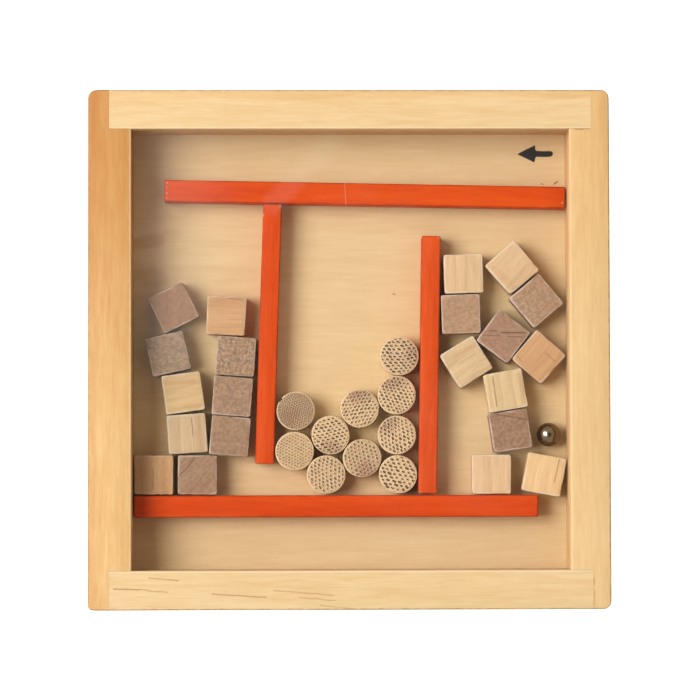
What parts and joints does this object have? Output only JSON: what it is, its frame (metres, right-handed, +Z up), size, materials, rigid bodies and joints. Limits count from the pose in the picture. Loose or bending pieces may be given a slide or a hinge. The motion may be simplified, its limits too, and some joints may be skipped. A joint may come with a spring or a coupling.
{
  "type": "wooden labyrinth game",
  "caption": "Hand-held ball maze: a square wooden tray with painted stick walls, loose wooden blocks and cane slices in three chambers, a steel ball and a clear cover.",
  "frame": {"origin": "middle of the tray's underside, on the surface it rests on", "axes": "+Z up out of the clear cover, +X to the player's right, +Y away from the player"},
  "size_m": [0.13, 0.1296, 0.019],
  "materials": {
    "pine": "bare sanded pine, faint grain",
    "honey_pine": "bare sanded pine of a warmer board",
    "birch_plywood": "smooth pale birch plywood",
    "clear_acrylic": "clear glossy sheet, lightly scratched",
    "orange_paint": "orange-red satin paint on wood",
    "pale_block_wood": "pale sanded hardwood",
    "tan_block_wood": "tan sanded hardwood",
    "orange_block_wood": "orange-brown sanded hardwood",
    "grey_block_wood": "grey-brown sanded hardwood",
    "brown_block_wood": "brown mottled hardwood",
    "cane": "cut end of cane, with brown pores",
    "bearing_steel": "polished dark steel"
  },
  "bodies": {
    "tray": {"left_stile": "honey_pine", "right_stile": "pine", "top_rail": "pine", "bottom_rail": "pine", "base_panel": "birch_plywood", "clear_cover": "clear_acrylic", "top_wall": "orange_paint", "bottom_wall": "orange_paint", "left_upright": "orange_paint", "right_upright": "orange_paint"},
    "left_block_01": {"left_block_01": "grey_block_wood"},
    "left_block_02": {"left_block_02": "orange_block_wood"},
    "left_block_03": {"left_block_03": "grey_block_wood"},
    "left_block_04": {"left_block_04": "brown_block_wood"},
    "left_block_05": {"left_block_05": "pale_block_wood"},
    "left_block_06": {"left_block_06": "grey_block_wood"},
    "left_block_07": {"left_block_07": "pale_block_wood"},
    "left_block_08": {"left_block_08": "grey_block_wood"},
    "left_block_09": {"left_block_09": "tan_block_wood"},
    "left_block_10": {"left_block_10": "grey_block_wood"},
    "right_block_01": {"right_block_01": "pale_block_wood"},
    "right_block_02": {"right_block_02": "pale_block_wood"},
    "right_block_03": {"right_block_03": "grey_block_wood"},
    "right_block_04": {"right_block_04": "grey_block_wood"},
    "right_block_05": {"right_block_05": "grey_block_wood"},
    "right_block_06": {"right_block_06": "pale_block_wood"},
    "right_block_07": {"right_block_07": "orange_block_wood"},
    "right_block_08": {"right_block_08": "pale_block_wood"},
    "right_block_09": {"right_block_09": "brown_block_wood"},
    "right_block_10": {"right_block_10": "tan_block_wood"},
    "right_block_11": {"right_block_11": "pale_block_wood"},
    "cane_disc_01": {"cane_disc_01": "cane"},
    "cane_disc_02": {"cane_disc_02": "cane"},
    "cane_disc_03": {"cane_disc_03": "cane"},
    "cane_disc_04": {"cane_disc_04": "cane"},
    "cane_disc_05": {"cane_disc_05": "cane"},
    "cane_disc_06": {"cane_disc_06": "cane"},
    "cane_disc_07": {"cane_disc_07": "cane"},
    "cane_disc_08": {"cane_disc_08": "cane"},
    "cane_disc_09": {"cane_disc_09": "cane"},
    "cane_disc_10": {"cane_disc_10": "cane"},
    "steel_ball": {"steel_ball": "bearing_steel"}
  },
  "joints": [
    {"name": "left_block_01_slide", "type": "slide", "parent": "tray", "child": "left_block_01", "axis": [0, 1, 0], "range_m": [0, 0.0195]},
    {"name": "left_block_02_slide", "type": "slide", "parent": "tray", "child": "left_block_02", "axis": [0, 1, 0], "range_m": [0, 0.0195]},
    {"name": "left_block_03_slide", "type": "slide", "parent": "tray", "child": "left_block_03", "axis": [0, 1, 0], "range_m": [0, 0.0195]},
    {"name": "left_block_04_slide", "type": "slide", "parent": "tray", "child": "left_block_04", "axis": [0, 1, 0], "range_m": [0, 0.0195]},
    {"name": "left_block_05_slide", "type": "slide", "parent": "tray", "child": "left_block_05", "axis": [0, 1, 0], "range_m": [0, 0.0195]},
    {"name": "left_block_06_slide", "type": "slide", "parent": "tray", "child": "left_block_06", "axis": [0, 1, 0], "range_m": [0, 0.0195]},
    {"name": "left_block_07_slide", "type": "slide", "parent": "tray", "child": "left_block_07", "axis": [0, 1, 0], "range_m": [0, 0.0195]},
    {"name": "left_block_08_slide", "type": "slide", "parent": "tray", "child": "left_block_08", "axis": [0, 1, 0], "range_m": [0, 0.0195]},
    {"name": "left_block_09_slide", "type": "slide", "parent": "tray", "child": "left_block_09", "axis": [0, 1, 0], "range_m": [0, 0.0195]},
    {"name": "left_block_10_slide", "type": "slide", "parent": "tray", "child": "left_block_10", "axis": [0, 1, 0], "range_m": [0, 0.0195]},
    {"name": "right_block_01_slide", "type": "slide", "parent": "tray", "child": "right_block_01", "axis": [0.0175, 0.9998, 0], "range_m": [0, 0.008]},
    {"name": "right_block_02_slide", "type": "slide", "parent": "tray", "child": "right_block_02", "axis": [0.0175, 0.9998, 0], "range_m": [0, 0.008]},
    {"name": "right_block_03_slide", "type": "slide", "parent": "tray", "child": "right_block_03", "axis": [0.0175, 0.9998, 0], "range_m": [0, 0.008]},
    {"name": "right_block_04_slide", "type": "slide", "parent": "tray", "child": "right_block_04", "axis": [0.0175, 0.9998, 0], "range_m": [0, 0.008]},
    {"name": "right_block_05_slide", "type": "slide", "parent": "tray", "child": "right_block_05", "axis": [0.0175, 0.9998, 0], "range_m": [0, 0.008]},
    {"name": "right_block_06_slide", "type": "slide", "parent": "tray", "child": "right_block_06", "axis": [0.0175, 0.9998, 0], "range_m": [0, 0.008]},
    {"name": "right_block_07_slide", "type": "slide", "parent": "tray", "child": "right_block_07", "axis": [0.0175, 0.9998, 0], "range_m": [0, 0.008]},
    {"name": "right_block_08_slide", "type": "slide", "parent": "tray", "child": "right_block_08", "axis": [0.0175, 0.9998, 0], "range_m": [0, 0.008]},
    {"name": "right_block_09_slide", "type": "slide", "parent": "tray", "child": "right_block_09", "axis": [0.0175, 0.9998, 0], "range_m": [0, 0.008]},
    {"name": "right_block_10_slide", "type": "slide", "parent": "tray", "child": "right_block_10", "axis": [0.0175, 0.9998, 0], "range_m": [0, 0.008]},
    {"name": "right_block_11_slide", "type": "slide", "parent": "tray", "child": "right_block_11", "axis": [0.0175, 0.9998, 0], "range_m": [0, 0.008]},
    {"name": "cane_disc_01_slide", "type": "slide", "parent": "tray", "child": "cane_disc_01", "axis": [0.0253, 0.9997, 0], "range_m": [0, 0.022]},
    {"name": "cane_disc_02_slide", "type": "slide", "parent": "tray", "child": "cane_disc_02", "axis": [0.0253, 0.9997, 0], "range_m": [0, 0.022]},
    {"name": "cane_disc_03_slide", "type": "slide", "parent": "tray", "child": "cane_disc_03", "axis": [0.0253, 0.9997, 0], "range_m": [0, 0.022]},
    {"name": "cane_disc_04_slide", "type": "slide", "parent": "tray", "child": "cane_disc_04", "axis": [0.0253, 0.9997, 0], "range_m": [0, 0.022]},
    {"name": "cane_disc_05_slide", "type": "slide", "parent": "tray", "child": "cane_disc_05", "axis": [0.0253, 0.9997, 0], "range_m": [0, 0.022]},
    {"name": "cane_disc_06_slide", "type": "slide", "parent": "tray", "child": "cane_disc_06", "axis": [0.0253, 0.9997, 0], "range_m": [0, 0.022]},
    {"name": "cane_disc_07_slide", "type": "slide", "parent": "tray", "child": "cane_disc_07", "axis": [0.0253, 0.9997, 0], "range_m": [0, 0.022]},
    {"name": "cane_disc_08_slide", "type": "slide", "parent": "tray", "child": "cane_disc_08", "axis": [0.0253, 0.9997, 0], "range_m": [0, 0.022]},
    {"name": "cane_disc_09_slide", "type": "slide", "parent": "tray", "child": "cane_disc_09", "axis": [0.0253, 0.9997, 0], "range_m": [0, 0.022]},
    {"name": "cane_disc_10_slide", "type": "slide", "parent": "tray", "child": "cane_disc_10", "axis": [0.0253, 0.9997, 0], "range_m": [0, 0.022]},
    {"name": "steel_ball_roll", "type": "slide", "parent": "right_block_11", "child": "steel_ball", "axis": [0, 1, 0], "range_m": [-0.0018, 0.0099]}
  ],
  "couplings": [
    {"joint": "left_block_02_slide", "follows": "left_block_01_slide", "ratio": 1},
    {"joint": "left_block_03_slide", "follows": "left_block_01_slide", "ratio": 1},
    {"joint": "left_block_04_slide", "follows": "left_block_01_slide", "ratio": 1},
    {"joint": "left_block_05_slide", "follows": "left_block_01_slide", "ratio": 1},
    {"joint": "left_block_06_slide", "follows": "left_block_01_slide", "ratio": 1},
    {"joint": "left_block_07_slide", "follows": "left_block_01_slide", "ratio": 1},
    {"joint": "left_block_08_slide", "follows": "left_block_01_slide", "ratio": 1},
    {"joint": "left_block_09_slide", "follows": "left_block_01_slide", "ratio": 1},
    {"joint": "left_block_10_slide", "follows": "left_block_01_slide", "ratio": 1},
    {"joint": "right_block_02_slide", "follows": "right_block_01_slide", "ratio": 1},
    {"joint": "right_block_03_slide", "follows": "right_block_01_slide", "ratio": 1},
    {"joint": "right_block_04_slide", "follows": "right_block_01_slide", "ratio": 1},
    {"joint": "right_block_05_slide", "follows": "right_block_01_slide", "ratio": 1},
    {"joint": "right_block_06_slide", "follows": "right_block_01_slide", "ratio": 1},
    {"joint": "right_block_07_slide", "follows": "right_block_01_slide", "ratio": 1},
    {"joint": "right_block_08_slide", "follows": "right_block_01_slide", "ratio": 1},
    {"joint": "right_block_09_slide", "follows": "right_block_01_slide", "ratio": 1},
    {"joint": "right_block_10_slide", "follows": "right_block_01_slide", "ratio": 1},
    {"joint": "right_block_11_slide", "follows": "right_block_01_slide", "ratio": 1},
    {"joint": "cane_disc_02_slide", "follows": "cane_disc_01_slide", "ratio": 1},
    {"joint": "cane_disc_03_slide", "follows": "cane_disc_01_slide", "ratio": 1},
    {"joint": "cane_disc_04_slide", "follows": "cane_disc_01_slide", "ratio": 1},
    {"joint": "cane_disc_05_slide", "follows": "cane_disc_01_slide", "ratio": 1},
    {"joint": "cane_disc_06_slide", "follows": "cane_disc_01_slide", "ratio": 1},
    {"joint": "cane_disc_07_slide", "follows": "cane_disc_01_slide", "ratio": 1},
    {"joint": "cane_disc_08_slide", "follows": "cane_disc_01_slide", "ratio": 1},
    {"joint": "cane_disc_09_slide", "follows": "cane_disc_01_slide", "ratio": 1},
    {"joint": "cane_disc_10_slide", "follows": "cane_disc_01_slide", "ratio": 1}
  ]
}
